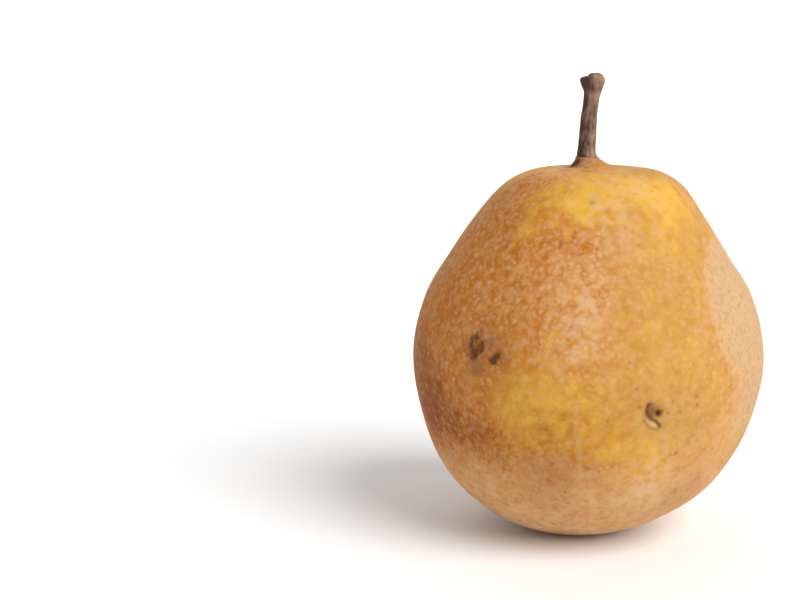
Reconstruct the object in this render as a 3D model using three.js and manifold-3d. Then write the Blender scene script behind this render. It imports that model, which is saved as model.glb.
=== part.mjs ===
import * as THREE from 'three';
import Module from 'manifold-3d';
import { mergeVertices } from 'three/addons/utils/BufferGeometryUtils.js';

// A round russet pear that stands on its calyx end, with its woody stem up.
// Millimetres, +Z up, and the front is -Y. The origin is on the surface that the pear stands on,
// under the middle of the whole part.
//
// It is three pieces: the fruit, with its skin and the fleshy collar round the stem in one,
// the stem, and the dried calyx in the basin underneath.

// Driving dimensions
const BELLY_RADIUS = 38.2;
const FLESH_HEIGHT = 79.8;
const PIECE_GAP = 0.3;

// Basin in the underside, with a pit in its floor that holds the calyx
const BASIN_MOUTH_RADIUS = 6.9;
const BASIN_DEPTH = 5.4;
const PIT_RADIUS = 1.9;
const PIT_DEPTH = 1.3;

// Socket in the collar that holds the stem
const SOCKET_RADIUS = 2.4;
const SOCKET_DEPTH = 2.6;

// Rings of the fruit's outside, from the flat spot that it rests on up to the collar's lip.
// Each is a share of the belly radius, a share of the flesh height, and how far its middle stands
// to the right of the belly's and behind it.
const FLANK_RINGS = [
	[ 0.230, 0.000, - 2.2, 0.0 ],
	[ 0.360, 0.021, - 2.0, 0.0 ],
	[ 0.545, 0.064, - 1.6, 0.0 ],
	[ 0.785, 0.160, - 0.9, 0.0 ],
	[ 0.930, 0.301, - 0.3, 0.0 ],
	[ 1.000, 0.489, 0.0, 0.0 ],
	[ 0.932, 0.652, 0.0, 0.2 ],
	[ 0.778, 0.777, - 0.1, 0.5 ],
	[ 0.632, 0.883, 0.2, 0.9 ],
	[ 0.510, 0.956, 0.8, 1.3 ],
	[ 0.378, 0.993, 1.2, 1.8 ],
	[ 0.240, 1.002, 1.4, 2.4 ],
	[ 0.160, 1.005, 1.0, 2.8 ],
	[ 0.118, 1.015, 0.2, 3.0 ],
	[ 0.085, 1.027, - 0.7, 3.0 ],
	[ 0.071, 1.032, - 0.9, 3.0 ],
];

// Rings of the basin's wall, from the pit's edge out to the mouth:
// a share of the mouth's radius and a share of the basin's depth.
const BASIN_RINGS = [
	[ 0.28, 1.00 ],
	[ 0.44, 0.96 ],
	[ 0.60, 0.72 ],
	[ 0.73, 0.40 ],
	[ 0.87, 0.11 ],
	[ 1.00, 0.00 ],
];

// The fruit isn't quite round. Depths are shares of the radius.
const OVALNESS = 0.02;
const LOBES = 5;
const LOBE_TURN = 0.35;
const BASE_LOBE = { depth: 0.014, height: 13, spread: 12 };
const CROWN_LOBE = { depth: 0.016, height: 73, spread: 8 };
const FURROW = { depth: 0.026, azimuth: - 1.6, width: 0.26, height: 71, spread: 9 };

// Stem rings: height, radius, and how far the middle stands to the right of the belly's and behind it
const STEM_RINGS = [
	[ 80.2, 1.90, - 0.9, 3.0 ],
	[ 81.4, 2.05, - 0.9, 3.0 ],
	[ 82.6, 2.08, - 0.9, 3.0 ],
	[ 84.6, 1.92, - 0.9, 3.0 ],
	[ 87.9, 1.76, - 0.7, 3.1 ],
	[ 92.2, 1.68, - 0.3, 3.3 ],
	[ 94.6, 1.76, 0.0, 3.5 ],
	[ 96.4, 2.05, 0.1, 3.6 ],
	[ 97.6, 2.40, 0.1, 3.6 ],
	[ 98.6, 2.60, 0.1, 3.6 ],
	[ 99.6, 2.35, 0.1, 3.6 ],
	[ 100.2, 1.40, 0.2, 3.6 ],
];
const STEM_TOP = 100.5;
const STEM_RIDGES = { count: 4, depth: 0.05, height: 91, spread: 8 };
const KNOB_BUMP = { depth: 0.10, azimuth: 2.9, width: 0.9, height: 98.4, spread: 1.3 };

// Calyx: a cup on a short foot, and five dried sepals that hang from its rim and curl in.
// The rings are radius and height, and the sepals' path is distance from the middle and height.
const CUP_RINGS = [
	[ 0.8, 4.9 ],
	[ 1.5, 4.2 ],
	[ 2.0, 3.8 ],
	[ 2.4, 4.2 ],
	[ 1.9, 4.9 ],
	[ 1.6, 5.2 ],
];
const CUP_FLOOR = 5.0;
const SEPALS = 5;
const SEPAL_PATH = [
	[ 1.8, 4.5 ],
	[ 2.5, 3.7 ],
	[ 3.1, 2.6 ],
	[ 3.0, 1.5 ],
	[ 2.3, 0.9 ],
];
const SEPAL_WIDTH = 2.3;
const SEPAL_TIP_WIDTH = 0.9;
const SEPAL_THICKNESS = 0.8;

// Fineness
const FRUIT_AROUND = 56;
const STEM_AROUND = 18;
const CUP_AROUND = 15;
const SEPAL_AROUND = 8;
const SEPAL_STEPS = 6;
const STEPS_PER_RING = 3;

const SKIN = { color: 0xcf9a4e, roughness: 0.62, metalness: 0 };
const WOOD = { color: 0x6b5546, roughness: 0.85, metalness: 0 };
const DRIED_SEPAL = { color: 0x4a3830, roughness: 0.9, metalness: 0 };

// 1 where the distance is nothing, fading smoothly over the spread
function fade( distance, spread ) {

	return Math.exp( - ( ( distance / spread ) ** 2 ) );

}

// How far round one azimuth is from another, between -PI and PI
function turnBetween( azimuth, other ) {

	return Math.atan2( Math.sin( azimuth - other ), Math.cos( azimuth - other ) );

}

// A swelling or a hollow at one side of a solid, as a share of its radius
function spot( form, ring, azimuth ) {

	return form.depth * fade( turnBetween( azimuth, form.azimuth ), form.width )
		* fade( ring.height - form.height, form.spread );

}

// Even waves round a solid, strongest at one height
function waves( form, count, startAzimuth, ring, azimuth ) {

	return form.depth * fade( ring.height - form.height, form.spread )
		* Math.cos( count * ( azimuth - startAzimuth ) );

}

// A stack of rings on one smooth curve through the given ones
function smoothRings( rings ) {

	const outline = new THREE.SplineCurve( rings.map( ( ring ) => new THREE.Vector2( ring.radius, ring.height ) ) );
	const middles = new THREE.SplineCurve( rings.map( ( ring ) => new THREE.Vector2( ring.x, ring.y ) ) );
	const steps = ( rings.length - 1 ) * STEPS_PER_RING;
	return Array.from( { length: steps + 1 }, ( _, step ) => {

		const edge = outline.getPoint( step / steps );
		const middle = middles.getPoint( step / steps );
		return { radius: edge.x, height: edge.y, x: middle.x, y: middle.y };

	} );

}

// A closed solid skinned over sections with equally many points each, from a point at its start
// to a point at its end. Seen from the end, each section runs anticlockwise.
function skinnedSolid( start, sections, end ) {

	const around = sections[ 0 ].length;
	const points = [ start, ...sections.flat(), end ];
	const lastSection = sections.length - 1;
	const at = ( section, step ) => 1 + section * around + step % around;
	const faces = [];
	for ( let step = 0; step < around; step ++ ) {

		faces.push( 0, at( 0, step + 1 ), at( 0, step ) );
		for ( let section = 0; section < lastSection; section ++ ) {

			const near = at( section, step );
			const nearNext = at( section, step + 1 );
			const far = at( section + 1, step );
			const farNext = at( section + 1, step + 1 );
			faces.push( near, nearNext, farNext, near, farNext, far );

		}

		faces.push( points.length - 1, at( lastSection, step ), at( lastSection, step + 1 ) );

	}

	const geometry = new THREE.BufferGeometry().setFromPoints( points ).setIndex( faces );
	geometry.computeVertexNormals();
	return geometry;

}

// A solid skinned over level rings. Its radius is changed round each ring by shareAt,
// and its two ends are closed by points at the given heights.
function ringedSolid( rings, around, startHeight, endHeight, shareAt = () => 0 ) {

	const sections = rings.map( ( ring ) => Array.from( { length: around }, ( _, step ) => {

		const azimuth = step / around * 2 * Math.PI;
		const reach = ring.radius * ( 1 + shareAt( ring, azimuth ) );
		return new THREE.Vector3(
			ring.x + reach * Math.cos( azimuth ),
			ring.y + reach * Math.sin( azimuth ),
			ring.height,
		);

	} ) );
	const first = rings[ 0 ];
	const last = rings[ rings.length - 1 ];
	const start = new THREE.Vector3( first.x, first.y, startHeight );
	const end = new THREE.Vector3( last.x, last.y, endHeight );
	return skinnedSolid( start, sections, end );

}

// The fruit: pit, basin, the flat spot it rests on, flank, crown, collar and socket in one solid
function fruit() {

	const flank = smoothRings( FLANK_RINGS.map( ( [ radius, height, x, y ] ) => (
		{ radius: radius * BELLY_RADIUS, height: height * FLESH_HEIGHT, x, y }
	) ) );
	const foot = flank[ 0 ];
	const lip = flank[ flank.length - 1 ];
	const basin = smoothRings( BASIN_RINGS.map( ( [ radius, depth ] ) => (
		{ radius: radius * BASIN_MOUTH_RADIUS, height: depth * BASIN_DEPTH, x: foot.x, y: foot.y }
	) ) );
	const pitRoof = BASIN_DEPTH + PIT_DEPTH;
	const pit = [ { ...basin[ 0 ], radius: PIT_RADIUS, height: pitRoof } ];
	const socketFloor = lip.height - SOCKET_DEPTH;
	const socket = [
		{ ...lip, radius: SOCKET_RADIUS },
		{ ...lip, radius: SOCKET_RADIUS, height: socketFloor },
	];

	const unroundness = ( ring, azimuth ) => waves( BASE_LOBE, LOBES, LOBE_TURN, ring, azimuth )
		+ waves( CROWN_LOBE, LOBES, LOBE_TURN, ring, azimuth )
		- spot( FURROW, ring, azimuth )
		- OVALNESS * Math.sin( azimuth ) ** 2;
	const rings = [ ...pit, ...basin, ...flank, ...socket ];
	return ringedSolid( rings, FRUIT_AROUND, pitRoof, socketFloor, unroundness );

}

// The stem: a ridged woody stalk, flared at its foot, with a knob where it left the spur
function stem() {

	const rings = smoothRings( STEM_RINGS.map( ( [ height, radius, x, y ] ) => ( { radius, height, x, y } ) ) );
	const unroundness = ( ring, azimuth ) => waves( STEM_RIDGES, STEM_RIDGES.count, 0, ring, azimuth )
		+ spot( KNOB_BUMP, ring, azimuth );
	return ringedSolid( rings, STEM_AROUND, rings[ 0 ].height, STEM_TOP, unroundness );

}

// One dried sepal: a tapered blade that hangs from the cup's rim and curls in at its tip
function sepal( middle, azimuth ) {

	const outward = new THREE.Vector3( Math.cos( azimuth ), Math.sin( azimuth ), 0 );
	const sideways = new THREE.Vector3( - Math.sin( azimuth ), Math.cos( azimuth ), 0 );
	const path = new THREE.CatmullRomCurve3( SEPAL_PATH.map( ( [ distance, height ] ) => (
		middle.clone().addScaledVector( outward, distance ).setZ( height )
	) ) );
	const sections = Array.from( { length: SEPAL_STEPS + 1 }, ( _, step ) => {

		const along = step / SEPAL_STEPS;
		const width = THREE.MathUtils.lerp( SEPAL_WIDTH, SEPAL_TIP_WIDTH, along ** 2 );
		const through = path.getTangent( along ).cross( sideways );
		return Array.from( { length: SEPAL_AROUND }, ( _, corner ) => {

			const angle = corner / SEPAL_AROUND * 2 * Math.PI;
			return path.getPoint( along )
				.addScaledVector( sideways, width / 2 * Math.cos( angle ) )
				.addScaledVector( through, SEPAL_THICKNESS / 2 * Math.sin( angle ) );

		} );

	} );
	return skinnedSolid( path.getPoint( 0 ), sections, path.getPoint( 1 ) );

}

function toManifold( wasm, geometry ) {

	const bare = new THREE.BufferGeometry()
		.setAttribute( 'position', geometry.getAttribute( 'position' ) )
		.setIndex( geometry.getIndex() );
	const merged = mergeVertices( bare );
	return new wasm.Manifold( new wasm.Mesh( {
		numProp: 3,
		vertProperties: merged.getAttribute( 'position' ).array,
		triVerts: new Uint32Array( merged.getIndex().array ),
	} ) );

}

function fromManifold( solid ) {

	const { vertProperties, triVerts } = solid.getMesh();
	const geometry = new THREE.BufferGeometry()
		.setAttribute( 'position', new THREE.BufferAttribute( vertProperties, 3 ) )
		.setIndex( new THREE.BufferAttribute( triVerts, 1 ) );
	geometry.computeVertexNormals();
	return geometry;

}

// The calyx: the cup, with its foot up in the pit and its sepals fused on
async function calyx() {

	const wasm = await Module();
	wasm.setup();
	const [ , , x, y ] = FLANK_RINGS[ 0 ];
	const footTop = BASIN_DEPTH + PIT_DEPTH - PIECE_GAP;
	const rings = CUP_RINGS.map( ( [ radius, height ] ) => ( { radius, height, x, y } ) );
	const foot = { ...rings[ rings.length - 1 ], height: footTop };
	const cup = toManifold( wasm, ringedSolid( [ ...rings, foot ], CUP_AROUND, CUP_FLOOR, footTop ) );
	const middle = new THREE.Vector3( x, y, 0 );
	const sepals = Array.from( { length: SEPALS }, ( _, index ) => (
		toManifold( wasm, sepal( middle, index / SEPALS * 2 * Math.PI ) )
	) );
	return fromManifold( sepals.reduce( ( whole, blade ) => whole.add( blade ), cup ) );

}

function piece( name, geometry, finish ) {

	const mesh = new THREE.Mesh( geometry, new THREE.MeshStandardMaterial( finish ) );
	mesh.name = name;
	return mesh;

}

const pear = new THREE.Group();
pear.add( piece( 'pear_body', fruit(), SKIN ) );
pear.add( piece( 'stem', stem(), WOOD ) );
pear.add( piece( 'calyx', await calyx(), DRIED_SEPAL ) );

// The middle of the whole part goes over the origin
const middle = new THREE.Box3().setFromObject( pear ).getCenter( new THREE.Vector3() );
pear.position.set( - middle.x, - middle.y, 0 );

const group = new THREE.Group();
group.add( pear );

export default group;
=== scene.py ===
"""A round russet pear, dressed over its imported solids: the skin, the stem and the dried calyx.

Every piece is made in metres, where the solids are. One Geometry Nodes tree skins the fruit, the
stem and the calyx's cup over their rings, others give the skin, the wood and the dried pieces
their relief, and the last sets the sepals and the stamens out in rings.
"""

import math

import bmesh
import bpy
from bpy.props import FloatProperty, FloatVectorProperty, IntProperty, PointerProperty
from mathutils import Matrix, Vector


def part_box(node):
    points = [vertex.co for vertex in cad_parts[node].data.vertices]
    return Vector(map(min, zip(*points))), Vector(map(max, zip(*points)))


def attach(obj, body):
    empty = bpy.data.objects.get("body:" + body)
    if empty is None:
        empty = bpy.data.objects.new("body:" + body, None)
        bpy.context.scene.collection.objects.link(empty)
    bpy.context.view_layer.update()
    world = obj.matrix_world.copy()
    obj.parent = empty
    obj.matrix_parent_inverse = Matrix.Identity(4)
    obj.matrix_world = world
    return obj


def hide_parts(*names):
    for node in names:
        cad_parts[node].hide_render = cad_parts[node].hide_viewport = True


bl_info = {
    "name": "Russet Pear",
    "version": (1, 0, 0),
    "blender": (4, 5, 0),
    "location": "3D View > Sidebar > Russet Pear",
    "description": "Makes a russet pear with its stem and dried calyx, and a plain studio stage",
    "category": "Add Mesh",
}

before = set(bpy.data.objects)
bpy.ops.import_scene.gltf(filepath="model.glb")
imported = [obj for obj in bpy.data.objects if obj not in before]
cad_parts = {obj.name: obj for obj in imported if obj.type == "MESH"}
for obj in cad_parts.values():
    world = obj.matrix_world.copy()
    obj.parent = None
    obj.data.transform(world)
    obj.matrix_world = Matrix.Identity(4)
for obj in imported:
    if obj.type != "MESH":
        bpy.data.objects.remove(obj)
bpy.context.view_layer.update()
BODY = "root"
MM = 0.001

# The fruit's two driving sizes come from its solid. Its collar's lip stands above the flesh.
FRUIT_LOW, FRUIT_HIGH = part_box("pear_body")
LIP_SHARE = 1.032
BELLY_RADIUS = (FRUIT_HIGH.x - FRUIT_LOW.x) / 2
FLESH_HEIGHT = FRUIT_HIGH.z / LIP_SHARE

# Rings up the fruit's flank, from the flat spot that it rests on to the collar's lip: a share of
# the belly's radius, a share of the flesh's height, and where the ring's middle is, in mm to the
# right of the belly's and behind it
FLANK_RINGS = (
    (0.230, 0.000, -2.2, 0.0),
    (0.360, 0.021, -2.0, 0.0),
    (0.545, 0.064, -1.6, 0.0),
    (0.785, 0.160, -0.9, 0.0),
    (0.930, 0.301, -0.3, 0.0),
    (1.000, 0.489, 0.0, 0.0),
    (0.932, 0.652, 0.0, 0.2),
    (0.778, 0.777, -0.1, 0.5),
    (0.632, 0.883, 0.2, 0.9),
    (0.510, 0.956, 0.8, 1.3),
    (0.378, 0.993, 1.2, 1.8),
    (0.240, 1.002, 1.4, 2.4),
    (0.142, 1.004, 0.5, 2.8),
    (0.098, 1.014, -0.1, 3.0),
    (0.070, 1.026, -0.6, 3.0),
    (0.063, LIP_SHARE, -0.8, 3.0),
)

# The basin's wall, from the middle of its floor out: shares of its mouth's radius and its depth
BASIN_MOUTH_RADIUS = 6.9
BASIN_DEPTH = 5.4
BASIN_RINGS = (
    (0.00, 1.02),
    (0.14, 1.02),
    (0.28, 1.00),
    (0.44, 0.96),
    (0.60, 0.72),
    (0.73, 0.40),
    (0.87, 0.11),
    (1.00, 0.00),
)

# Inside the lip the flesh closes on the stem: radius and rise from the lip, in mm
LIP_CLOSING = ((2.25, 0.05), (1.95, -0.4), (1.7, -1.2), (0.0, -1.4))

# The fruit isn't quite round: depths are shares of the radius, heights and spreads are in mm
OVALNESS = 0.02
LOBES = 5
LOBE_TURN = 0.35
BASE_LOBE = {"depth": 0.014, "height": 13, "spread": 12}
CROWN_LOBE = {"depth": 0.016, "height": 73, "spread": 8}
FURROW = {"depth": 0.026, "azimuth": -1.6, "width": 0.26, "height": 71, "spread": 9}

# The skin's mesh is cut finer within this reach of a blemish, in mm
FINE_REACH = 5.5
FINE_CUTS = 2

# Stem rings, in mm: height, radius, and the middle's place to the right and to the back
STEM_RINGS = (
    (80.2, 1.90, -0.9, 3.0),
    (81.4, 2.05, -0.9, 3.0),
    (82.4, 2.16, -0.8, 3.0),
    (83.8, 1.92, -0.9, 3.0),
    (87.9, 1.76, -0.7, 3.1),
    (92.2, 1.66, -0.3, 3.3),
    (94.6, 1.68, 0.0, 3.5),
    (96.4, 1.88, 0.2, 3.6),
    (97.5, 2.24, 0.2, 3.6),
    (98.6, 2.48, 0.2, 3.6),
    (99.6, 2.32, 0.2, 3.6),
    (100.2, 1.50, 0.4, 3.6),
)
STEM_CLOSING = ((0.7, 100.4), (0.0, 100.5))
STEM_RIDGE_COUNT = 4
STEM_RIDGES = {"depth": 0.05, "height": 91, "spread": 8}

# The knob has a bump, which is a hollow of less than no depth, and two flats: the way that each
# faces and how far out it lies from the knob's middle
KNOB_HEIGHT = 98.4
KNOB_BUMP = {"depth": -0.08, "azimuth": 2.9, "width": 0.9, "height": KNOB_HEIGHT, "spread": 1.1}
KNOB_MIDDLE = Vector((0.2, 3.6, KNOB_HEIGHT))
KNOB_FLATS = ((Vector((0.7, -0.66, 0.25)), 1.85), (Vector((-0.35, -0.1, 0.93)), 1.6))

# The calyx, in mm: radius and height of the cup's rings, and distance and height along a blade
CUP_RINGS = (
    (0.0, 5.0),
    (0.8, 4.9),
    (1.5, 4.2),
    (2.0, 3.8),
    (2.4, 4.2),
    (1.9, 4.9),
    (1.6, 5.2),
    (1.6, 6.4),
    (0.0, 6.4),
)
SEPAL_PATH = ((1.8, 4.5), (2.5, 3.7), (3.1, 2.6), (3.0, 1.5), (2.3, 0.9))
SEPAL_THICKNESS = 0.4
SEPAL_CURL = 0.35
SEPAL_TAPER = 0.85
SEPAL_TAPER_POWER = 1.6
SEPAL_SPREADS = {"Turn Spread": 0.12, "Tilt Spread": 0.06, "Size Spread": 0.06, "Seed": 3}
STAMEN_PATH = ((0.9, 5.0), (1.2, 4.0), (1.0, 3.0), (1.3, 2.3))
STAMEN_WIDTH = 0.24
STAMEN_THICKNESS = 0.22
STAMEN_SPREADS = {"Turn Spread": 0.3, "Tilt Spread": 0.08, "Size Spread": 0.12, "Seed": 8}

# Colour patches of the skin: azimuth in degrees, ring up the flank, reach in mm and strength
PATCHES = {
    "yellow": (
        (-72, 9.5, 11, 0.78),
        (-100, 9.0, 7, 0.4),
        (-36, 9.0, 7, 0.5),
        (-116, 8.6, 6, 0.35),
        (-94, 8.3, 5, 0.25),
        (-44, 8.2, 7, 0.4),
        (-50, 7.5, 6, 0.15),
        (-119, 7.8, 3, 0.5),
        (-57, 6.0, 6, 0.15),
        (-60, 5.3, 6, 0.1),
        (-107, 5.0, 9, 0.55),
        (-93, 5.1, 8, 0.4),
        (-113, 4.5, 7, 0.35),
        (-100, 4.3, 8, 0.4),
        (-70, 4.2, 10, 0.5),
        (-84, 4.4, 7, 0.2),
        (-67, 3.7, 7, 0.2),
    ),
    "brown": (
        # The first two brown patches, down the left edge, are painted shade as well as brown skin
        (-149, 4.4, 9, 1.3),
        (-165, 4.8, 10, 1.0),
        (-131, 4.25, 7, 0.6),
        (-120, 4.1, 6, 0.35),
        (-100, 3.7, 8, 0.8),
        (-94, 4.5, 6, 0.3),
        (-99, 7.6, 4, 0.5),
        (-118, 6.5, 7, 0.3),
        (-113, 5.7, 6, 0.2),
        (-130, 7.4, 8, 0.2),
        (-46, 3.3, 8, 0.7),
    ),
    "russet": (
        (-140, 10.6, 6, 0.6),
        (-128, 3.4, 8, 0.4),
        (-106, 3.9, 8, 0.3),
        (-36, 3.9, 8, 0.5),
        (-28, 4.5, 7, 0.6),
        (-50, 3.4, 8, 0.5),
        (-156, 5.9, 9, -0.4),
    ),
    "pale": (
        # The first four pale patches, on the front of the belly, are a painted highlight as well as pale
        # russet
        (-94, 6.1, 7, 0.9),
        (-88, 6.8, 7, 0.4),
        (-86, 7.8, 8, 0.5),
        (-95, 5.5, 6, 0.5),
        (-72, 9.3, 9, 1.05),
        (-62, 4.0, 6, 0.5),
        (-66, 3.4, 8, 0.4),
        (-26, 4.5, 9, 0.9),
    ),
    "olive": (
        (-68, 4.6, 5, 0.5),
        (-55, 4.5, 6, 0.4),
        (-78, 4.95, 6, 0.2),
        (-104, 4.9, 9, 0.25),
        (-66, 6.8, 8, 0.15),
        (-60, 5.6, 7, 0.15),
    ),
}
FILM_PATCHES = (
    (-18, 6.25, 12, 0.8),
    (-24, 5.7, 14, 1.0),
    (5, 6.0, 18, 1.0),
    (-8, 4.6, 12, 1.0),
)

# Patches of the back: the noise's size in mm and its seed, and the noise where a patch begins and
# where it is full
BACK_PATCHES = {
    "yellow": (22.0, 42.0, 0.46, 0.6),
    "brown": (26.0, 44.0, 0.5, 0.7),
    "russet": (15.0, 44.0, 0.55, 0.7),
    "pale": (14.0, 52.0, 0.5, 0.75),
}

# Where the skin changes, in mm, from where a change begins to where it is full: to the back, up
# for the russet base and the pale foot, and to the right for the ripe side
BACK_EDGE = (-12.0, 8.0)
BASE_EDGE = (26.0, 12.0)
FOOT_EDGE = (9.0, 2.0)
RIPE_EDGE = (-6.0, 14.0)
COLLAR_REACH = 4.5

# Layers of flecks: a share of the fleck spacing and a seed
FLECK_LAYERS = ((1.0, 7.0), (0.84, 29.0), (0.64, 19.0))

# What each field or mark adds: to the flecks' cover, to the haze between the flecks, and to the
# healed skin round the blemishes
COVER_WEIGHTS = {"yellow": -0.4, "brown": -0.1, "ripe": -0.15, "pale": 0.25, "russet": 1.0}
HAZE_WEIGHTS = {"bare": 0.12, "pale": 0.42, "base": 0.6, "ripe": 0.09}
BRUISE_WEIGHTS = {"stain": 0.5, "flap": 0.9, "crease": 0.6, "edge": 0.6, "collar": 0.7}

# Blemishes lie at an azimuth and a ring. Their lines have a width, then points in mm to the right
# and up from there, and their spots are in mm to the right and up, with a reach.
CRATER = (-68.0, 4.69)
CRATER_LINES = {
    "crease": (0.8, (-1.3, 1.8), (-1.6, 0.8), (-1.4, -0.2), (-0.7, -1.0)),
    "tail": (0.45, (-0.7, -1.0), (0.3, -1.7), (1.2, -2.7)),
    "edge": (0.4, (-2.0, -1.5), (-1.3, -2.7), (0.0, -3.3), (1.2, -3.2)),
    "rim": (0.5, (-1.3, -1.5), (-0.7, -2.2), (0.2, -2.6)),
}
CRATER_SPOTS = {
    "pit": ((0.9, 0.0, 0.95),),
    "flap": ((-0.4, 0.4, 1.4),),
    "speck": (
        (2.9, -0.1, 0.35),
        (5.6, 0.0, 0.4),
        (3.8, 2.4, 0.3),
        (-3.5, 1.5, 0.4),
        (9.2, 2.9, 0.5),
        (9.5, 1.0, 0.5),
        (-4.1, 5.1, 0.5),
        (5.9, -9.2, 0.4),
    ),
}
SCAR = (-127.4, 5.52)
SCAR_SPOTS = {
    "scab": (
        (-0.5, 1.9, 1.5),
        (-1.6, 0.2, 1.1),
        (1.3, 0.4, 1.1),
        (-0.4, -1.0, 1.7),
        (-0.2, -2.4, 1.0),
        (5.4, -1.2, 1.1),
        (4.4, -2.6, 0.9),
    ),
    "crust": (
        (-0.1, 0.5, 0.9),
        (0.9, -3.6, 1.4),
        (1.2, -4.3, 1.7),
        (4.3, 1.6, 1.1),
        (7.0, -1.6, 0.9),
        (-2.8, -0.4, 1.1),
    ),
    "stain": ((2.2, -0.7, 4.6),),
}

# Skin within this depth of a blemish's plane is marked as if it lay in the plane, in mm
NEAR_SKIN = 5.0

# Marks at places of their own: azimuths and rings, with the reach or the width in mm
DIMPLE = (-90.8, 8.70)
DIMPLE_REACH = 0.75
STREAK = ((-92.9, 4.78), (-92.2, 4.4), (-91.4, 4.1), (-90.6, 3.75))
STREAK_WIDTH = 0.6
# Painted shade: dark spots on the left of the collar, beside the stem, each an azimuth, a ring and a
# reach
COLLAR_SHADE_SPOTS = ((-150, 12.8, 1.6), (-138, 13.4, 1.1), (-156, 11.7, 0.5), (-163, 11.2, 0.4))

# The gloss of the finishes, and how high their bumps are in mm
SKIN_GLOSS = 0.05
PLAIN_GLOSS = 0.3
FLECK_BUMP = 0.02
GRAIN_BUMP = 0.025
DRY_BUMP = 0.1

# Camera: a little above the pear, at the distance of a portrait
CAMERA_RISE = math.radians(12)
CAMERA_DISTANCE = 356.3 * MM
CAMERA_LENS = 72
CAMERA_SENSOR = 36
PHOTO_WIDTH, PHOTO_HEIGHT = 800, 600
CORE_POINT = Vector((0.61, 0.0, 38.0)) * MM
CORE_PIXEL = (589.0, 358.4)

# The main light comes from this direction. The paper's tooth is this share as bright as the paper.
KEY_DIRECTION = Vector((0.65, -0.5, 0.65))
PAPER_TOOTH = 0.97


def fade(distance, spread):
    """1 where the distance is nothing, fading smoothly over the spread."""
    return math.exp(-((distance / spread) ** 2))


def srgb(red, green, blue):
    """A screen colour as linear light."""
    shares = [value / 255 for value in (red, green, blue)]
    return [share / 12.92 if share <= 0.04045 else ((share + 0.055) / 1.055) ** 2.4 for share in shares]


def weighed(parts, weights):
    """The sum of the parts that the weights name, each times its weight."""
    return sum(parts[name] * weight for name, weight in weights.items())


def on_curve(points, along):
    """The point at `along`, from 0 to the last index, on a smooth curve through the points."""
    last = len(points) - 1
    index = min(int(along), last - 1)
    part = along - index
    nearby = [points[min(max(index + step, 0), last)] for step in (-1, 0, 1, 2)]
    place = []
    for before, start, end, after in zip(*nearby):
        leave = (end - before) / 2
        arrive = (after - start) / 2
        cubic = 2 * start - 2 * end + leave + arrive
        square = 3 * end - 3 * start - 2 * leave - arrive
        place.append(((cubic * part + square) * part + leave) * part + start)
    return place


def smoothed(points, steps=14):
    """Points on a smooth curve through the given ones, this many for each span."""
    spans = len(points) - 1
    return [on_curve(points, number / steps) for number in range(spans * steps + 1)]


def flank_rings():
    """The fruit's outer rings in mm: radius, height, and the middle's place right and back."""
    radius_mm = BELLY_RADIUS / MM
    height_mm = FLESH_HEIGHT / MM
    return [(radius * radius_mm, height * height_mm, *middle) for radius, height, *middle in FLANK_RINGS]


def lip_middle():
    """The middle of the collar's lip, in mm."""
    _, height, right, back = flank_rings()[-1]
    return right, back, height


def fruit_rings():
    """The whole fruit's rings in mm: out from the basin's floor, up the flank and in at the lip."""
    flank = flank_rings()
    foot, lip = flank[0], flank[-1]
    basin = [
        (radius * BASIN_MOUTH_RADIUS, depth * BASIN_DEPTH, *foot[2:]) for radius, depth in BASIN_RINGS
    ]
    closing = [(radius, lip[1] + rise, *lip[2:]) for radius, rise in LIP_CLOSING]
    return smoothed(basin) + smoothed(flank) + closing


def stem_rings():
    """The stem's rings in mm, closed in the middle at both ends."""
    rings = [(radius, height, *middle) for height, radius, *middle in STEM_RINGS]
    foot, top = rings[0], rings[-1]
    closing = [(radius, height, *top[2:]) for radius, height in STEM_CLOSING]
    return [(0, foot[1], *foot[2:])] + smoothed(rings) + closing


def cup_rings():
    """The calyx's cup in mm, from the middle of its hollow out over its rim to its foot."""
    middle = FLANK_RINGS[0][2:]
    return [(radius, height, *middle) for radius, height in smoothed(CUP_RINGS, steps=8)]


def on_skin(azimuth, ring):
    """The point of the skin at an azimuth in degrees and a ring number up the flank, in mm."""
    radius, height, right, back = on_curve(flank_rings(), ring)
    angle = math.radians(azimuth)
    wave = math.cos(LOBES * (angle - LOBE_TURN))
    turn = math.remainder(angle - FURROW["azimuth"], math.tau)
    share = 1 - OVALNESS * math.sin(angle) ** 2
    for lobe in (BASE_LOBE, CROWN_LOBE):
        share += lobe["depth"] * fade(height - lobe["height"], lobe["spread"]) * wave
    furrow = fade(turn, FURROW["width"]) * fade(height - FURROW["height"], FURROW["spread"])
    reach = radius * (share - FURROW["depth"] * furrow)
    return Vector((right + reach * math.cos(angle), back + reach * math.sin(angle), height))


def skin_frame(azimuth, ring):
    """A place on the skin in mm, and the ways right, up and out from it."""
    here = on_skin(azimuth, ring)
    right = (on_skin(azimuth + 1, ring) - here).normalized()
    up = (on_skin(azimuth, ring + 0.05) - here).normalized()
    return here, right, up, right.cross(up)


class Field:
    """A number that a tree's nodes work out at every point. Arithmetic on it adds more nodes."""

    def __init__(self, maker, socket):
        self.maker = maker
        self.socket = socket

    def __add__(self, other):
        return self.maker.math("ADD", self, other)

    def __sub__(self, other):
        return self.maker.math("SUBTRACT", self, other)

    def __rsub__(self, other):
        return self.maker.math("SUBTRACT", other, self)

    def __mul__(self, other):
        return self.maker.math("MULTIPLY", self, other)

    def __truediv__(self, other):
        return self.maker.math("DIVIDE", self, other)

    def __rtruediv__(self, other):
        return self.maker.math("DIVIDE", other, self)

    __radd__ = __add__
    __rmul__ = __mul__


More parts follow.
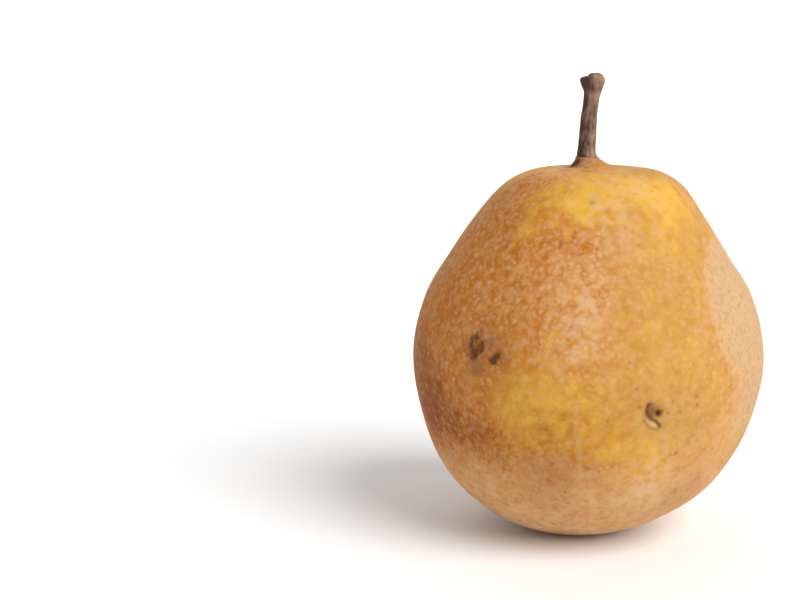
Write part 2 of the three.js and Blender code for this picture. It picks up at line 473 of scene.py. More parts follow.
class NodeMaker:
    """Adds nodes to a material's or a Geometry Nodes tree and joins them up."""

    def __init__(self, tree):
        self.tree = tree

    def feed(self, socket, value):
        """Gives a socket its value, or links it to the field or the output that the value is."""
        if isinstance(value, Field):
            value = value.socket
        if isinstance(value, bpy.types.NodeSocket):
            self.tree.links.new(value, socket)
        else:
            socket.default_value = value

    def add(self, kind, *values, **named):
        """A node. Values go to its sockets in order, names in small letters are its settings and
        names with a capital are its sockets."""
        node = self.tree.nodes.new(kind)
        for name, value in named.items():
            if name.islower():
                setattr(node, name, value)
        for socket, value in zip(node.inputs, values):
            self.feed(socket, value)
        for name, value in named.items():
            if not name.islower():
                self.feed(node.inputs[name.replace("_", " ")], value)
        return node

    def first(self, kind, *values, **named):
        """What a new node gives first."""
        return self.add(kind, *values, **named).outputs[0]

    def number(self, kind, *values, **named):
        """The number that a new node gives first, as a field."""
        return Field(self, self.first(kind, *values, **named))

    def parts(self, vector):
        """The three parts of a vector, as fields."""
        return [Field(self, output) for output in self.add("ShaderNodeSeparateXYZ", vector).outputs]

    def joined(self, *parts):
        """The vector of three parts."""
        return self.first("ShaderNodeCombineXYZ", *parts)

    def math(self, operation, *values):
        return self.number("ShaderNodeMath", *values, operation=operation)

    def most(self, first, *others):
        for other in others:
            first = self.math("MAXIMUM", first, other)
        return first

    def least(self, first, *others):
        for other in others:
            first = self.math("MINIMUM", first, other)
        return first

    def vector(self, operation, *values):
        return self.first("ShaderNodeVectorMath", *values, operation=operation)

    def distance(self, first, second):
        node = self.add("ShaderNodeVectorMath", first, second, operation="DISTANCE")
        return Field(self, node.outputs["Value"])

    def dot(self, first, second):
        node = self.add("ShaderNodeVectorMath", first, second, operation="DOT_PRODUCT")
        return Field(self, node.outputs["Value"])

    def scaled(self, vector, factor):
        return self.first("ShaderNodeVectorMath", vector, operation="SCALE", Scale=factor)

    def lengthwise(self, position, share):
        """The position with its height cut to this share, which draws a pattern out lengthwise."""
        return self.vector("MULTIPLY", position, (1.0, 1.0, share))

    def step(self, value, low, high):
        """Goes smoothly from 0 where the value is low to 1 where it is high."""
        return self.number("ShaderNodeMapRange", value, low, high, interpolation_type="SMOOTHSTEP")

    def fade(self, distance, spread):
        """1 where the distance is nothing, fading smoothly over the spread."""
        share = distance / spread
        return self.math("EXPONENT", share * share * -1.0)

    def noise_node(self, position, size, seed, detail=0.0, roughness=0.5):
        return self.add(
            "ShaderNodeTexNoise", noise_dimensions="4D",
            Vector=position, W=seed, Scale=1 / size, Detail=detail, Roughness=roughness,
        )

    def noise(self, position, size, seed, detail=0.0, roughness=0.5):
        """Soft noise from 0 to 1, about 0.5, whose features are about this size."""
        return Field(self, self.noise_node(position, size, seed, detail, roughness).outputs[0])

    def ripple(self, position, size, seed, detail=0.0, roughness=0.5):
        """The same noise about 0."""
        return self.noise(position, size, seed, detail, roughness) - 0.5

    def strayed(self, position, size, reach, seed):
        """The position moved a little, up to the reach, by noise of this size."""
        drift = self.noise_node(position, size, seed).outputs["Color"]
        start = self.vector("SUBTRACT", position, (reach,) * 3)
        return self.vector("MULTIPLY_ADD", drift, (2 * reach,) * 3, start)

    def dots(self, position, spacing, seed):
        """The distance in mm to the nearest of points scattered this far apart, and two random
        numbers of that point's own, from 0 to 1."""
        moved = self.vector("ADD", position, (seed,) * 3)
        node = self.add("ShaderNodeTexVoronoi", Vector=moved, Scale=1 / spacing)
        drawn = self.add("ShaderNodeSeparateColor", node.outputs["Color"]).outputs
        distance = Field(self, node.outputs["Distance"]) * spacing
        return distance, Field(self, drawn[0]), Field(self, drawn[1])

    def mix(self, share, first, second):
        """The colour this share of the way from the first to the second."""
        node = self.add("ShaderNodeMix", data_type="RGBA")
        for number, value in ((0, share), (6, first), (7, second)):
            self.feed(node.inputs[number], value)
        return node.outputs[2]

    def coated(self, ground, *coats):
        """The ground's colour under these coats, each how thick it is and its colour."""
        for thickness, paint in coats:
            ground = self.mix(thickness, ground, paint)
        return ground

    def near_point(self, position, point, reach):
        return self.fade(self.distance(position, point), reach)

    def near_places(self, position, patches):
        """The sum of the patches' strengths, each fading over its reach from its place."""
        return sum(
            self.near_point(position, on_skin(azimuth, ring), reach) * strength
            for azimuth, ring, reach, strength in patches
        )

    def path_distance(self, position, points):
        """The distance to the nearest of the straight lines from point to point."""
        distances = []
        for start, end in zip(points, points[1:]):
            line = end - start
            offset = self.vector("SUBTRACT", position, start)
            along = self.dot(offset, line / line.length_squared)
            along = self.least(self.most(along, 0.0), 1.0)
            distances.append(self.distance(offset, self.scaled(tuple(line), along)))
        return self.least(*distances)


SOCKET_KINDS = {int: "Int", float: "Float", tuple: "Vector"}


def new_geometry_tree(name, sizes):
    """A Geometry Nodes tree that takes a geometry, these sizes and a material: its maker and its
    inputs. The sizes come with their defaults."""
    tree = bpy.data.node_groups.new(name, "GeometryNodeTree")
    for direction in ("INPUT", "OUTPUT"):
        tree.interface.new_socket("Geometry", in_out=direction, socket_type="NodeSocketGeometry")
    for label, default in sizes.items():
        kind = "NodeSocket" + SOCKET_KINDS[type(default)]
        tree.interface.new_socket(label, in_out="INPUT", socket_type=kind).default_value = default
    tree.interface.new_socket("Material", in_out="INPUT", socket_type="NodeSocketMaterial")
    maker = NodeMaker(tree)
    given = {}
    for output in maker.add("NodeGroupInput").outputs:
        given[output.name] = Field(maker, output) if output.type in ("VALUE", "INT") else output
    return maker, given


def close_tree(maker, geometry, material):
    """Ends a tree: what it made is realized, shaded smooth and given its material."""
    geometry = maker.first("GeometryNodeRealizeInstances", geometry)
    geometry = maker.first("GeometryNodeSetShadeSmooth", geometry)
    geometry = maker.first("GeometryNodeSetMaterial", geometry, Material=material)
    maker.feed(maker.add("NodeGroupOutput").inputs[0], geometry)
    return maker.tree


def grown(name, mesh, tree, values):
    """A plain mesh object: what the tree makes of the mesh with these values."""
    holder = bpy.data.objects.new(name, mesh)
    bpy.context.scene.collection.objects.link(holder)
    modifier = holder.modifiers.new(tree.name, "NODES")
    modifier.node_group = tree
    sockets = {item.name: item for item in tree.interface.items_tree if item.in_out == "INPUT"}
    for label, value in values.items():
        modifier[sockets[label].identifier] = value
    holder.update_tag()
    made = bpy.data.meshes.new_from_object(holder.evaluated_get(bpy.context.evaluated_depsgraph_get()))
    holder.modifiers.remove(modifier)
    holder.data = made
    bpy.data.meshes.remove(mesh)
    made.name = name
    if not made.polygons:
        raise RuntimeError(f"{name} came out of {tree.name} with no faces")
    return holder


def grown_again(piece, tree, values):
    """The piece after one more tree."""
    name = piece.name
    mesh = piece.data
    bpy.data.objects.remove(piece)
    return grown(name, mesh, tree, values)


def profile_mesh(rings):
    """A line in metres with a point at each ring's radius and height, which holds its middle."""
    mesh = bpy.data.meshes.new("profile")
    points = [(radius * MM, 0, height * MM) for radius, height, _, _ in rings]
    mesh.from_pydata(points, [(number, number + 1) for number in range(len(rings) - 1)], [])
    middles = mesh.attributes.new("middle", "FLOAT_VECTOR", "POINT")
    for held, (_, _, right, back) in zip(middles.data, rings):
        held.vector = (right * MM, back * MM, 0)
    return mesh


def ringed_solid_tree():
    """Skins a profile round its rings' middles, with waves and one hollow in its roundness."""
    maker, given = new_geometry_tree("Ringed Solid", {
        "Around": 64,
        "Along": 64,
        "Waves": 5,
        "Wave Turn": 0.0,
        "Low Wave Depth": 0.0,
        "Low Wave Height": 0.0,
        "Low Wave Spread": 1.0,
        "High Wave Depth": 0.0,
        "High Wave Height": 0.0,
        "High Wave Spread": 1.0,
        "Hollow Depth": 0.0,
        "Hollow Azimuth": 0.0,
        "Hollow Width": 1.0,
        "Hollow Height": 0.0,
        "Hollow Spread": 1.0,
        "Ovalness": 0.0,
        "Weld": 0.001 * MM,
    })
    line = maker.first("GeometryNodeMeshToCurve", given["Geometry"])
    line = maker.first("GeometryNodeResampleCurve", line, Count=given["Along"])
    grid = maker.first(
        "GeometryNodeMeshGrid", Vertices_X=given["Around"] + 1, Vertices_Y=given["Along"]
    )
    number = maker.number("GeometryNodeInputIndex")
    column = maker.math("FLOOR", (number + 0.5) / given["Along"])
    ring = number - column * given["Along"]

    def on_ring(vector):
        """The parts that the vector has at this point's ring."""
        return maker.parts(maker.first(
            "GeometryNodeSampleIndex", data_type="FLOAT_VECTOR", Geometry=line, Value=vector, Index=ring
        ))

    held = maker.first("GeometryNodeInputNamedAttribute", data_type="FLOAT_VECTOR", Name="middle")
    radius, _, height = on_ring(maker.first("GeometryNodeInputPosition"))
    right, back, _ = on_ring(held)
    azimuth = column * math.tau / given["Around"]
    wave = maker.math("COSINE", given["Waves"] * (azimuth - given["Wave Turn"]))
    roundness = 1.0
    for level in ("Low Wave", "High Wave"):
        close = maker.fade(height - given[level + " Height"], given[level + " Spread"])
        roundness = close * given[level + " Depth"] * wave + roundness
    turn = maker.math("WRAP", azimuth - given["Hollow Azimuth"], math.pi, -math.pi)
    hollow_round = maker.fade(turn, given["Hollow Width"])
    hollow_up = maker.fade(height - given["Hollow Height"], given["Hollow Spread"])
    sine = maker.math("SINE", azimuth)
    cosine = maker.math("COSINE", azimuth)
    hollow = hollow_round * hollow_up * given["Hollow Depth"]
    reach = radius * (roundness - hollow - sine * sine * given["Ovalness"])
    place = maker.joined(reach * cosine + right, reach * sine + back, height)
    skinned = maker.first("GeometryNodeSetPosition", grid, Position=place)
    welded = maker.first("GeometryNodeMergeByDistance", skinned, Distance=given["Weld"])
    return close_tree(maker, welded, given["Material"])


def form_inputs(label, form):
    """A wave's or a hollow's sizes as inputs of the ringed solid's tree, with lengths in metres."""
    lengths = ("height", "spread")
    return {
        f"{label} {name.title()}": size * MM if name in lengths else size for name, size in form.items()
    }


def raised(maker, geometry, height_mm):
    """The geometry moved outwards by this height."""
    offset = maker.scaled(maker.first("GeometryNodeInputNormal"), height_mm * MM)
    return maker.first("GeometryNodeSetPosition", geometry, Offset=offset)


def geometry_mm(maker):
    """Each point's position in mm."""
    return maker.scaled(maker.first("GeometryNodeInputPosition"), 1 / MM)


def flattened(maker, position, place):
    """The position in mm to the right of a place on the skin and above it, in its plane."""
    here, right, up, out = skin_frame(*place)
    offset = maker.vector("SUBTRACT", position, here)
    depth = maker.math("ABSOLUTE", maker.dot(offset, out))
    beyond = maker.most(depth - NEAR_SKIN, 0.0)
    return maker.joined(maker.dot(offset, right), maker.dot(offset, up), beyond)


def skin_marks(maker, position):
    """How strongly each blemish marks the skin at a position in mm, for its relief and colour."""
    ragged = maker.strayed(position, size=1.1, reach=0.25, seed=31.0)
    torn = maker.strayed(position, size=1.3, reach=0.5, seed=32.0)
    by_crater = flattened(maker, ragged, CRATER)
    by_scar = flattened(maker, torn, SCAR)

    def line(where, points, width):
        points = [Vector(point).to_3d() for point in points]
        return maker.fade(maker.path_distance(where, points), width)

    def spots(where, parts):
        near = [maker.near_point(where, (right, up, 0), reach) for right, up, reach in parts]
        return maker.least(sum(near), 1.0)

    marks = {name: line(by_crater, points, width) for name, (width, *points) in CRATER_LINES.items()}
    marks |= {name: spots(by_crater, parts) for name, parts in CRATER_SPOTS.items()}
    marks |= {name: spots(by_scar, parts) for name, parts in SCAR_SPOTS.items()}
    marks["crease"] = maker.most(marks["crease"], marks.pop("tail"))
    marks["dimple"] = maker.near_point(ragged, on_skin(*DIMPLE), DIMPLE_REACH)
    marks["streak"] = line(ragged, [on_skin(*place) for place in STREAK], STREAK_WIDTH)
    # Painted shade on the left of the collar, beside the stem
    marks["lip stain"] = maker.most(*(
        maker.near_point(ragged, on_skin(azimuth, ring), reach) for azimuth, ring, reach in COLLAR_SHADE_SPOTS
    ))
    return marks


def skin_relief_tree():
    """Swells and dents the fruit's skin, and cuts its blemishes into it."""
    maker, given = new_geometry_tree("Skin Relief", {
        "Swell": 0.3,
        "Swell Size": 24.0,
        "Dimpling": 0.05,
        "Crease Depth": 0.3,
        "Pit Depth": 0.5,
        "Flap Depth": 0.2,
        "Stain Depth": 0.2,
        "Dimple Depth": 0.3,
        "Rim Height": 0.06,
        "Scab Height": 1.5,
        "Crust Height": 0.25,
        "Streak Height": 0.2,
    })
    position = geometry_mm(maker)
    marks = skin_marks(maker, position)
    _, _, height = maker.parts(position)
    from_stem = maker.distance(position, lip_middle())
    still = maker.step(height, 0.2, 6.0) * maker.step(from_stem, 3.0, 12.0)

    def swell(size_share, seed):
        near = maker.scaled(position, 1.0 / (given["Swell Size"] * size_share))
        return maker.ripple(near, 1.0, seed)

    waves = swell(1.0, 3.0) * 2.0 + swell(0.36, 4.0) * 0.7
    dimples = maker.ripple(position, size=1.9, seed=5.0, detail=1.0)
    crumbs = maker.noise(position, size=0.9, seed=6.0, detail=2.0)
    torn_crumbs = crumbs - 0.62
    total = (
        waves * given["Swell"] * still
        + dimples * given["Dimpling"] * still
        - marks["crease"] * given["Crease Depth"]
        - marks["pit"] * given["Pit Depth"]
        - marks["flap"] * given["Flap Depth"]
        - marks["stain"] * given["Stain Depth"]
        - marks["dimple"] * given["Dimple Depth"]
        + marks["rim"] * given["Rim Height"]
        + marks["scab"] * torn_crumbs * given["Scab Height"]
        + marks["crust"] * crumbs * given["Crust Height"]
        + marks["streak"] * crumbs * given["Streak Height"]
    )
    return close_tree(maker, raised(maker, given["Geometry"], total), given["Material"])


def refine(piece, places):
    """Splits the faces near the places, so that the blemishes have enough points there."""
    mesh = bmesh.new()
    mesh.from_mesh(piece.data)
    near = [
        edge for edge in mesh.edges
        if any((edge.verts[0].co / MM - place).length < FINE_REACH for place in places)
    ]
    bmesh.ops.subdivide_edges(mesh, edges=near, cuts=FINE_CUTS, use_grid_fill=True)
    bmesh.ops.triangulate(mesh, faces=[face for face in mesh.faces if len(face.verts) > 4])
    mesh.to_mesh(piece.data)
    mesh.free()


def bark_furrows(maker, position, share):
    """The bark's long furrows, drawn out by this share. Its relief and its colour both use them."""
    return maker.ripple(maker.lengthwise(position, share), size=1.1, seed=11.0, detail=1.0)


def bark_relief_tree():
    """Furrows the stem's bark lengthwise, breaks its top and presses flats on its knob."""
    maker, given = new_geometry_tree("Bark Relief", {"Furrow": 0.22, "Grain": 0.09, "Break": 0.5})
    position = geometry_mm(maker)
    _, _, height = maker.parts(position)
    knob = maker.step(height, KNOB_HEIGHT - 2.2, KNOB_HEIGHT)
    above_foot = maker.step(height, 82.6, 84.0)
    furrows = bark_furrows(maker, position, 0.16)
    grain = maker.ripple(maker.lengthwise(position, 0.4), size=0.4, seed=12.0, detail=2.0)
    lumps = maker.ripple(position, size=1.5, seed=13.0, detail=1.5)
    geometry = given["Geometry"]
    for direction, reach in KNOB_FLATS:
        outward = direction.normalized()
        from_middle = maker.vector("SUBTRACT", geometry_mm(maker), KNOB_MIDDLE)
        over = maker.most(maker.dot(from_middle, outward) - reach, 0.0)
        pressed = maker.scaled(tuple(outward * -MM), over)
        geometry = maker.first("GeometryNodeSetPosition", geometry, Offset=pressed)
    total = (
        furrows * given["Furrow"] * (above_foot + 0.3) * 2.0
        + grain * given["Grain"] * 2.0
        + lumps * knob * given["Break"] * 2.0
    )
    return close_tree(maker, raised(maker, geometry, total), given["Material"])


def crumple_tree():
    """Crumples a dried piece and gives it its material."""
    maker, given = new_geometry_tree("Dried Crumple", {"Crumple": 0.25, "Crumple Size": 1.2})
    near = maker.scaled(geometry_mm(maker), 1.0 / given["Crumple Size"])
    drift = maker.noise_node(near, size=1.0, seed=21.0, detail=2.0).outputs["Color"]
    drift = maker.vector("SUBTRACT", drift, (0.5, 0.5, 0.5))
    stray = maker.scaled(drift, given["Crumple"] * (2 * MM))
    crumpled = maker.first("GeometryNodeSetPosition", given["Geometry"], Offset=stray)
    return close_tree(maker, crumpled, given["Material"])


def ring_of_copies_tree():
    """Sets copies of a piece out round a middle, each turned, tilted and sized a little apart."""
    maker, given = new_geometry_tree("Ring of Copies", {
        "Count": 5,
        "Middle": (0.0, 0.0, 0.0),
        "Turn Spread": 0.1,
        "Tilt Spread": 0.1,
        "Size Spread": 0.1,
        "Seed": 0,
    })

    def stray(label, draw):
        """A random number of this draw, from minus the spread to the spread."""
        node = maker.add("FunctionNodeRandomValue", data_type="FLOAT", Seed=given["Seed"] + draw)
        return (Field(maker, node.outputs[1]) * 2.0 - 1.0) * given[label + " Spread"]

    points = maker.first("GeometryNodePoints", Count=given["Count"], Position=given["Middle"])
    number = maker.number("GeometryNodeInputIndex")
    turn = number * math.tau / given["Count"] + stray("Turn", 1)
    angles = maker.joined(stray("Tilt", 2), stray("Tilt", 3), turn)
    rotation = maker.first("FunctionNodeEulerToRotation", angles)
    size = stray("Size", 4) + 1.0
    copies = maker.first(
        "GeometryNodeInstanceOnPoints", points, Instance=given["Geometry"], Rotation=rotation, Scale=size
    )
    return close_tree(maker, copies, given["Material"])


def length(name, description, default):
    return FloatProperty(
        name=name, description=description, default=default, unit="LENGTH", subtype="DISTANCE"
    )


def proportion(name, description, default):
    return FloatProperty(name=name, description=description, default=default, min=0.0, subtype="FACTOR")


def colour(name, description, screen_colour):
    return FloatVectorProperty(
        name=name, description=description, default=srgb(*screen_colour), min=0.0, max=1.0, size=3,
        subtype="COLOR",
    )


def count(name, description, default):
    return IntProperty(name=name, description=description, default=default, min=3)


class SkinSettings(bpy.types.PropertyGroup):
    """Sizes and colours of the fruit's skin."""
    around: count("Faces Around", "Faces round the fruit", 360)
    along: count("Faces Along", "Faces from the basin to the stem", 200)
    swell: length("Swell", "How far the skin swells and dips", 0.3 * MM)
    fleck_size: length("Fleck Spacing", "How far apart the pale russet flecks are", 1.9 * MM)
    fleck_cover: proportion("Fleck Cover", "How much of the skin the flecks cover", 0.66)
    orange: colour("Orange", "Ground colour of the skin", (180, 105, 30))
    ochre: colour("Ochre", "Ground colour of the skin's ripe side", (184, 132, 58))
    yellow: colour("Yellow", "Colour of the ripe patches", (213, 163, 62))
    # Brown also paints shade down the fruit's left edge
    brown: colour("Brown", "Colour of the weathered patches", (134, 66, 12))
    russet: colour("Russet", "Colour of the flecks and the russet skin", (207, 160, 110))
    # Pale russet also paints a broad highlight on the front of the belly
    pale: colour("Pale Russet", "Colour of the palest flecks", (209, 172, 130))
    film: colour("Russet Film", "Colour of the thin film of russet", (194, 158, 120))
    olive: colour("Olive", "Tinge of the unripe patches", (158, 144, 92))
    crust: colour("Crust", "Colour of the healed skin round scars", (144, 96, 62))
    scar: colour("Scar", "Colour of scars and creases", (86, 44, 20))


class StemSettings(bpy.types.PropertyGroup):
    """Sizes and colours of the woody stem."""
    around: count("Faces Around", "Faces round the stem", 96)
    along: count("Faces Along", "Faces from the stem's foot to its top", 220)
    furrow: length("Furrow", "Depth of the bark's long furrows", 0.22 * MM)
    bark: colour("Bark", "Main colour of the bark", (118, 92, 78))
    # Dark bark also paints shade down the stem's left side and on its knob's left
    dark_bark: colour("Dark Bark", "Colour in the furrows and on the knob", (74, 48, 38))
    # Pale bark also paints light down the stem's right side
    pale_bark: colour("Pale Bark", "Colour of the worn streaks", (158, 126, 92))


class CalyxSettings(bpy.types.PropertyGroup):
    """Sizes and colours of the dried calyx."""
    around: count("Faces Around", "Faces round the cup", 60)
    along: count("Faces Along", "Faces from the cup's hollow to its foot", 50)
    sepals: count("Sepals", "How many sepals stand round the cup", 5)
    stamens: count("Stamens", "How many dried stamens stand in the cup", 17)
    sepal_width: length("Sepal Width", "Width of a sepal at its root", 2.3 * MM)
    crumple: length("Crumple", "How far the dried pieces are crumpled", 0.25 * MM)
    dried: colour("Dried", "Main colour of the dried pieces", (84, 66, 58))
    # Dark dried paints shade in the folds
    dark_dried: colour("Dark Dried", "Colour in their folds", (40, 28, 23))


class StageSettings(bpy.types.PropertyGroup):
    """Colour and lights of the studio stage."""
    paper: colour("Paper", "Colour of the floor and backdrop", (250, 250, 250))
    sky: FloatProperty(name="Sky", description="Strength of the light from all round", default=0.5, min=0)
    key: FloatProperty(name="Key", description="Strength of the main light", default=2.98, min=0)
    key_size: FloatProperty(
        name="Key Size", description="How wide the main light looks", default=math.radians(45),
        subtype="ANGLE",
    )


SETTINGS = {
    "pear_skin_settings": SkinSettings,
    "pear_stem_settings": StemSettings,
    "pear_calyx_settings": CalyxSettings,
    "pear_stage_settings": StageSettings,
}


def new_material(name, roughness, gloss=PLAIN_GLOSS):
    """A material, its maker, the position in mm that its nodes read, and its shader."""
    material = bpy.data.materials.new(name)
    material.use_nodes = True
    material.node_tree.nodes.clear()
    maker = NodeMaker(material.node_tree)
    position = maker.scaled(maker.add("ShaderNodeTexCoord").outputs["Object"], 1 / MM)
    shader = maker.add("ShaderNodeBsdfPrincipled", Roughness=roughness, Specular_IOR_Level=gloss)
    maker.feed(maker.add("ShaderNodeOutputMaterial").inputs["Surface"], shader.outputs[0])
    return material, maker, position, shader


def paints(settings, *names):
    """The settings' colours of these names, as a shader takes them."""
    return {name: (*getattr(settings, name), 1.0) for name in names}


def set_bump(maker, shader, height_mm):
    """Feeds the shader a bump of this height."""
    bump = maker.add("ShaderNodeBump", Strength=1.0, Distance=MM, Height=height_mm)
    maker.feed(shader.inputs["Normal"], bump.outputs[0])


def patch_fields(maker, position):
    """How yellow, brown, olive, russet and pale the skin is at a position in mm, how near the base
    and the collar, how ripe its side, and whether a film of russet lies there. Noise patches the
    back, which the tables leave out."""
    right, depth, height = maker.parts(position)
    loose = maker.strayed(position, size=9.0, reach=3.0, seed=40.0)
    loose = maker.strayed(loose, size=3.5, reach=1.8, seed=41.0)
    behind = maker.step(depth, *BACK_EDGE)
    fields = {name: maker.near_places(loose, patches) for name, patches in PATCHES.items()}
    for name, (size, seed, start, full) in BACK_PATCHES.items():
        noise = maker.noise(position, size, seed, detail=1.0)
        fields[name] += maker.step(noise, start, full) * behind

    collar = maker.near_point(position, lip_middle(), COLLAR_REACH)
    base = maker.step(height + maker.ripple(position, size=9.0, seed=45.0) * 10.0, *BASE_EDGE)
    foot = maker.step(height, *FOOT_EDGE)
    straying = maker.ripple(position, size=3.4, seed=49.0, detail=2.0) * 24.0
    russet = fields["russet"] + base * 0.9 - fields["yellow"] * 0.3 + collar
    return {
        "collar": collar,
        "base": base,
        "ripe": maker.step(right + straying, *RIPE_EDGE),
        "yellow": fields["yellow"] - collar,
        "brown": fields["brown"] + collar * 0.6,
        "olive": fields["olive"],
        "russet": maker.least(russet, 1.0),
        "film": maker.near_places(position, FILM_PATCHES),
        # The pale field holds a painted highlight on the front of the belly as well as pale russet
        "pale": maker.least(fields["pale"] + base * 0.3 + foot + collar, 1.0),
    }


def fleck_layer(maker, position, fields, settings):
    """How strongly the russet covers the skin, and how strongly the gaps in its film show. Soft
    dots and specks run together, and fill whole patches but for pinholes and cracks where the
    russet is dense."""
    spacing = settings.fleck_size / MM
    uneven = maker.ripple(position, size=6.0, seed=46.0, detail=2.0) * 0.9
    cover = settings.fleck_cover + uneven + weighed(fields, COVER_WEIGHTS)
    ragged = maker.strayed(position, size=2.2, reach=0.45, seed=55.0)
    ragged = maker.strayed(ragged, size=1.1, reach=0.32, seed=53.0)

    def dot_layer(spacing, seed):
        """Soft dots this far apart. A dot shows where the cover is above its own random number."""
        distance, rank, tone = maker.dots(ragged, spacing, seed)
        reach = (fields["russet"] * 0.3 + tone * 0.15 + 0.22) * spacing
        dot = maker.step(distance - reach, 0.3 * spacing, -0.3 * spacing)
        shown = maker.step(cover * 1.2 - rank, -0.12, 0.12)
        return dot * shown * (tone * 0.55 + 0.45)

    specks = maker.noise(ragged, size=spacing * 0.8, seed=58.0, detail=1.0) + cover * 0.22
    crumbs = maker.noise(position, size=1.6, seed=56.0, detail=3.0)
    dense = maker.step(fields["russet"] + crumbs * 1.1, 0.95, 1.35)
    film = maker.step(fields["film"] + crumbs * 0.3, 0.70, 0.80)
    pin_distance, pin_rank, _ = maker.dots(ragged, 1.2, 31.0)
    pinholes = maker.step(pin_distance, 0.5, 0.12) * maker.step(pin_rank, 0.3, 0.8)
    cracks = maker.step(maker.noise(ragged, size=1.2, seed=60.0, detail=1.5), 0.54, 0.34)
    gaps = maker.most(pinholes * 0.5, cracks * 0.45)
    dots = [dot_layer(spacing * share, seed) for share, seed in FLECK_LAYERS]
    covered = maker.most(*dots, maker.step(specks, 0.54, 0.86) * 0.62, dense * 0.8, film)
    bare = gaps * maker.most(dense, film * 0.7)
    return covered * (1.0 - bare), film * gaps


def skin_material(settings):
    """Orange skin, ochre on its ripe side, with yellow, brown and olive patches under pale russet
    flecks and blemishes."""
    material, maker, position, shader = new_material("russet_pear_skin", 0.6, SKIN_GLOSS)
    paint = paints(
        settings, "orange", "ochre", "yellow", "brown", "russet", "pale", "film", "olive", "crust", "scar"
    )
    marks = skin_marks(maker, position)
    fields = patch_fields(maker, position)

    blotch = maker.ripple(position, size=3.4, seed=43.0, detail=2.0, roughness=0.6)
    tawny = maker.ripple(position, size=2.0, seed=48.0, detail=2.0, roughness=0.6)
    yellow = maker.step(fields["yellow"] + blotch * 2.0, -0.1, 1.3)
    # The strongest brown patches, down the left edge, are painted shade as well as brown skin
    brown = maker.step(fields["brown"] + tawny * 2.2, 0.05, 1.3)
    ground = maker.coated(
        paint["orange"],
        (fields["ripe"], paint["ochre"]),
        (yellow, paint["yellow"]),
        (brown * 0.9, paint["brown"]),
        (fields["olive"] * 0.6, paint["olive"]),
    )
    film = maker.least(fields["film"], 1.0)
    russet = maker.coated(
        paint["russet"],
        (fields["pale"], paint["pale"]),
        (film, paint["film"]),
        (maker.least(fields["brown"], 1.0) * 0.4, paint["brown"]),
    )

    flecks, film_gaps = fleck_layer(maker, position, fields, settings)
    haze = maker.step(maker.noise(position, size=2.2, seed=57.0, detail=1.5), 0.36, 0.68)
    hazy = weighed({**fields, "bare": 1.0 - yellow}, HAZE_WEIGHTS)
    ripe_flecks = maker.least(fields["yellow"], 1.0) * (1.0 - fields["pale"]) * 0.2
    faint = (ripe_flecks + fields["ripe"] * 0.38) * (1.0 - maker.most(film, fields["russet"]))
    streak = marks["streak"] * maker.step(tawny, -0.08, 0.05)
    bruise = weighed({**marks, **fields}, BRUISE_WEIGHTS)
    mottle = maker.ripple(position, size=0.9, seed=63.0, detail=1.0) * 0.8
    scab = marks["scab"] + tawny * 0.8 + mottle - marks["crust"] * 0.5
    dark = maker.most(
        maker.step(marks["crease"], 0.3, 1.2) * 0.8,
        maker.step(marks["pit"], 0.1, 1.0),
        maker.step(scab, 0.15, 1.1) * 0.85,
        # The dimple's hollow is darkened as painted shade
        marks["dimple"] * 0.35,
        marks["flap"] * 0.3,
        # Painted shade on the left of the collar
        marks["lip stain"],
    )
    skin = maker.coated(
        ground,
        (haze * hazy, russet),
        (flecks * (0.9 - faint), russet),
        (film_gaps * 0.35, paint["crust"]),
        (streak * 0.65, russet),
        (marks["speck"] * 0.5, paint["brown"]),
        (maker.least(bruise, 0.9), paint["crust"]),
        (marks["crust"] * 0.6, paint["crust"]),
        (marks["rim"] * 0.3, paint["pale"]),
        (dark, paint["scar"]),
    )
    maker.feed(shader.inputs["Base Color"], skin)

    grain = maker.noise(position, size=0.35, seed=51.0, detail=2.0)
    maker.feed(shader.inputs["Roughness"], flecks * 0.12 + grain * 0.08 + 0.5)
    set_bump(maker, shader, flecks * FLECK_BUMP + grain * GRAIN_BUMP)
    return material


def bark_material(settings):
    """Brown bark with dark and pale streaks; its left side darker and its knob's left blotched dark as
    painted shade, its right side paler as painted light.
    """
    material, maker, position, shader = new_material("stem_bark", 0.8)
    paint = paints(settings, "bark", "dark_bark", "pale_bark")
    right, _, height = maker.parts(position)
    middle = maker.number("ShaderNodeMapRange", height, 84.0, 96.0, -0.9, 0.1)
    # How far right of the stem's middle a point lies: this paints shade down the left side and light down
    # the right
    side = right - middle
    furrows = bark_furrows(maker, position, 0.2)
    fine = maker.ripple(maker.lengthwise(position, 0.4), size=0.6, seed=61.0, detail=3.0)
    lumps = maker.ripple(position, size=2.2, seed=62.0, detail=1.0)
    streaks_and_painted_side_light = side * 0.38 + furrows * 2.2 + fine * 2.8 + lumps * 2.2
    knob = maker.step(height, KNOB_HEIGHT - 3.0, KNOB_HEIGHT - 0.5)
    # The knob's dark blotches gather on its left side as painted shade
    crust = maker.step(side * -0.5 + lumps * 3.0, -0.4, 0.5)
    # The dark coat is partly painted shade down the left side, and the pale coat partly painted light
    # down the right
    skin = maker.coated(
        paint["bark"],
        (maker.step(streaks_and_painted_side_light, 0.1, -0.75), paint["dark_bark"]),
        (maker.step(streaks_and_painted_side_light, 0.25, 1.0) * 0.8, paint["pale_bark"]),
        (knob * crust * 0.9, paint["dark_bark"]),
    )
    maker.feed(shader.inputs["Base Color"], skin)
    set_bump(maker, shader, fine * DRY_BUMP)
    return material


